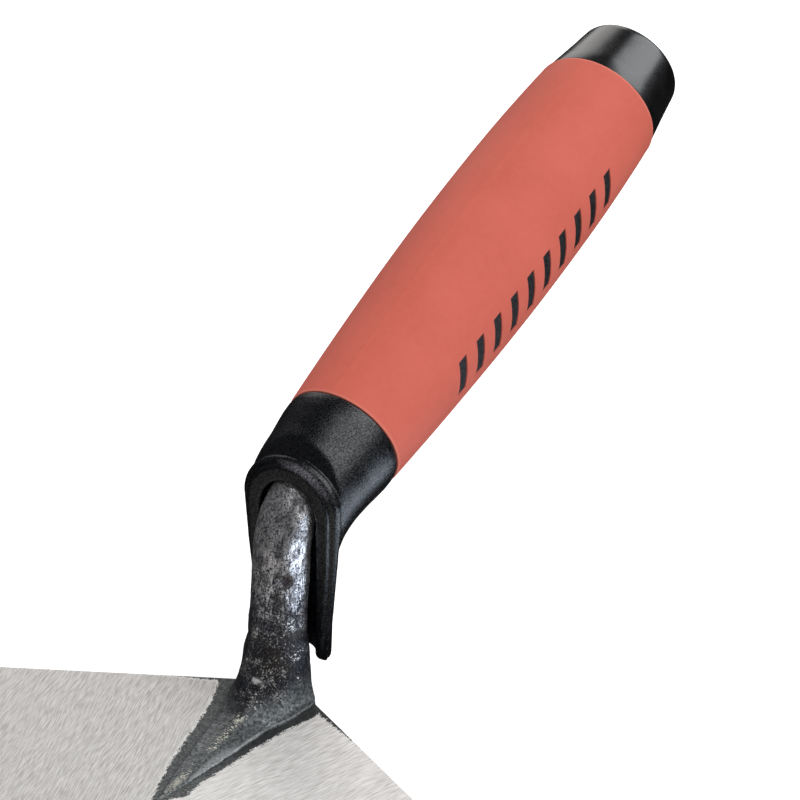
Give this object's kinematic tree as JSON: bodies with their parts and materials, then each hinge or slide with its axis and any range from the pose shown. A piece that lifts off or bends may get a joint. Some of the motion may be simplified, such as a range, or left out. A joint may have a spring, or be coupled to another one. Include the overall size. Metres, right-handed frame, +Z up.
{
  "type": "brick trowel",
  "caption": "Brick trowel: broad pointed flat blade forged in one with a cranked shank, and a soft-grip handle with a hard finger guard and end cap.",
  "frame": {"origin": "on the ground, under the centre of the box of the trowel as it lies on its blade", "axes": "+X from the blade's tip towards the handle, +Z up from the blade's flat underside; the X-Z plane cuts the trowel in half"},
  "size_m": [0.4346, 0.1408, 0.1139],
  "materials": {
    "forged_steel": "ground bright on the blade, dark forge scale on the heel and shank",
    "black_plastic": "fine moulded texture",
    "red_rubber": "satin soft-touch",
    "black_gloss_plastic": "smooth gloss"
  },
  "bodies": {
    "root": {"blade_forging": "forged_steel", "handle_core": "black_plastic", "soft_grip": "red_rubber", "butt_cap": "black_gloss_plastic"}
  },
  "joints": []
}
